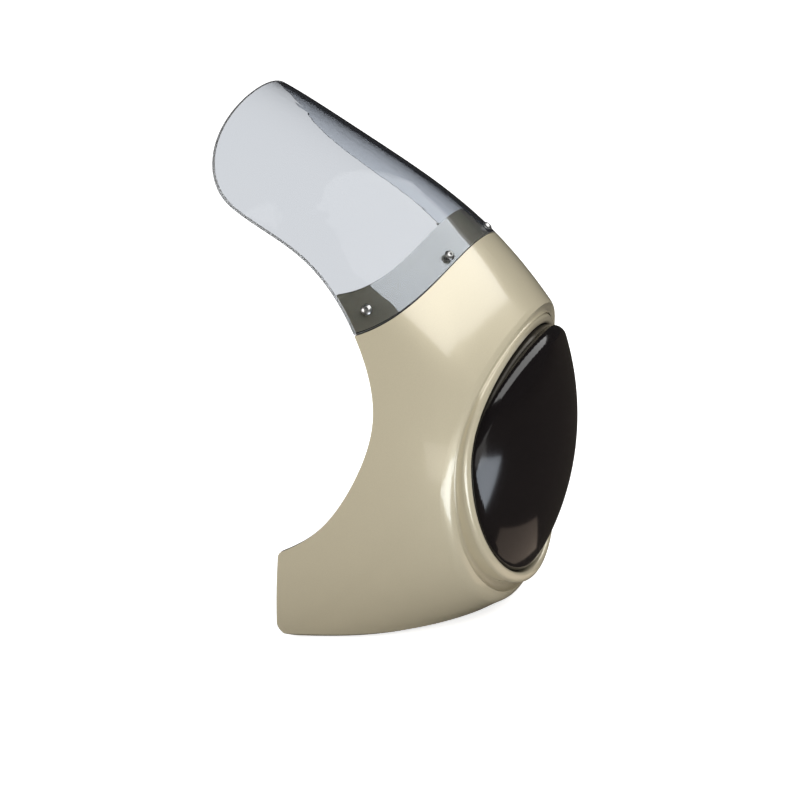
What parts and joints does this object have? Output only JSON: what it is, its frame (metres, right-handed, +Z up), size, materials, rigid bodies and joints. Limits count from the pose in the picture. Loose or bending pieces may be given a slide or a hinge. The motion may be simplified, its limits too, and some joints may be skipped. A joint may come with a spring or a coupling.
{
  "type": "motorbike headlight cowl",
  "caption": "Painted bullet-nosed headlight cowl with a raised bead round a domed smoked lens and a clear curved windscreen screwed to a sunk flange.",
  "frame": {"origin": "on the flat lower lip at its front, in the middle plane", "axes": "+X forward along the bike, +Y to its left, +Z up"},
  "size_m": [0.2384, 0.2694, 0.3797],
  "materials": {
    "champagne_paint": "glossy metallic paint over moulded shell",
    "clear_acrylic": "clear polished acrylic",
    "smoked_lens": "dark smoked polycarbonate, polished",
    "black_foam": "closed-cell foam",
    "stainless": "stainless steel, turned"
  },
  "bodies": {
    "root": {"cowl_shell": "champagne_paint", "windscreen": "clear_acrylic", "lens_cover": "smoked_lens", "lens_seal": "black_foam", "screen_screws": "stainless", "screen_washers": "stainless", "screen_nuts": "stainless"}
  },
  "joints": []
}
